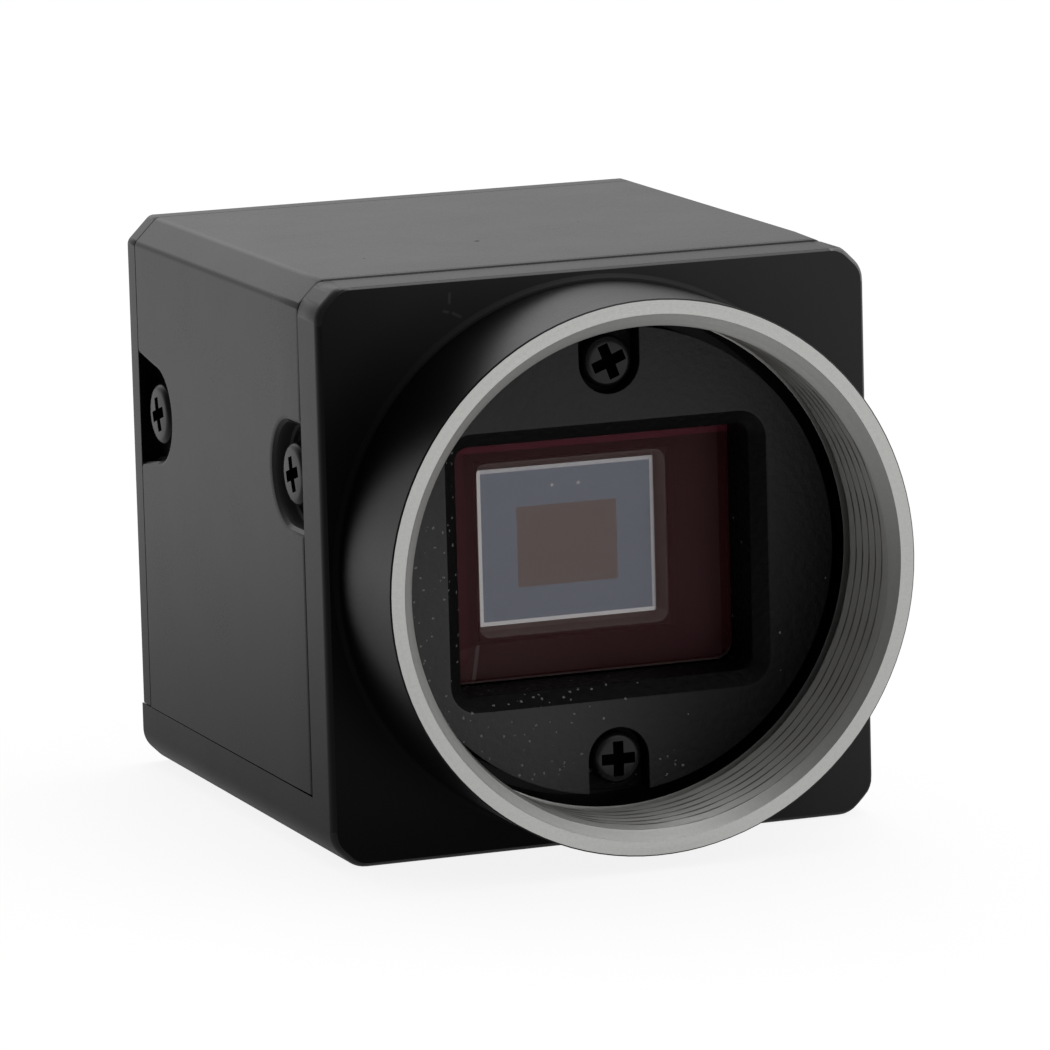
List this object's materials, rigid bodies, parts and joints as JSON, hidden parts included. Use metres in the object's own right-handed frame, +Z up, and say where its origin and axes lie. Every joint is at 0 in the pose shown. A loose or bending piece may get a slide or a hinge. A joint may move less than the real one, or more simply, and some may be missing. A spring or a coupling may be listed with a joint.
{
  "type": "machine vision camera",
  "caption": "Compact cube-shaped camera for machine vision, with a threaded lens mount on its front plate, an image sensor behind a flared window, a U-shaped cover and rear sockets.",
  "frame": {"origin": "centre of the lens mount's rim, on the optical axis", "axes": "-Y out of the lens mount along the optical axis, +Y to the rear plate, +X to the right seen from the front, +Z up from the base plate"},
  "size_m": [0.029, 0.0368, 0.029],
  "materials": {
    "black_housing": "matte",
    "black_bezel": "matte",
    "black_screw": "gloss",
    "filter": "gloss",
    "clear_glass": "gloss",
    "gasket": "matte",
    "ceramic": "matte",
    "silicon": "gloss",
    "circuit_board": "satin",
    "chip": "matte",
    "connector_plastic": "matte",
    "brass": "satin",
    "zinc_steel": "satin",
    "light_pipe": "gloss"
  },
  "bodies": {
    "root": {"front_housing": "black_housing", "cover_shell": "black_housing", "rear_plate": "black_housing", "cover_screws_front": "black_screw", "cover_screws_rear": "black_screw", "rear_plate_screws": "black_screw", "sensor_bezel": "black_bezel", "bezel_screws": "black_screw", "filter_glass": "filter", "filter_gasket": "gasket", "sensor_cover_glass": "clear_glass", "sensor_package": "ceramic", "sensor_die": "silicon", "sensor_board": "circuit_board", "processor_board": "circuit_board", "interface_board": "circuit_board", "front_standoffs": "brass", "rear_standoffs": "brass", "board_screws": "zinc_steel", "sensor_link_plug": "connector_plastic", "sensor_link_socket": "connector_plastic", "data_link_plug": "connector_plastic", "data_link_socket": "connector_plastic", "processor": "chip", "memory": "chip", "interface_chip": "chip", "usb_shell": "zinc_steel", "usb_insert": "connector_plastic", "io_shell": "zinc_steel", "io_insert": "connector_plastic", "io_pins": "brass", "status_led": "light_pipe", "light_pipe": "light_pipe"}
  },
  "joints": []
}
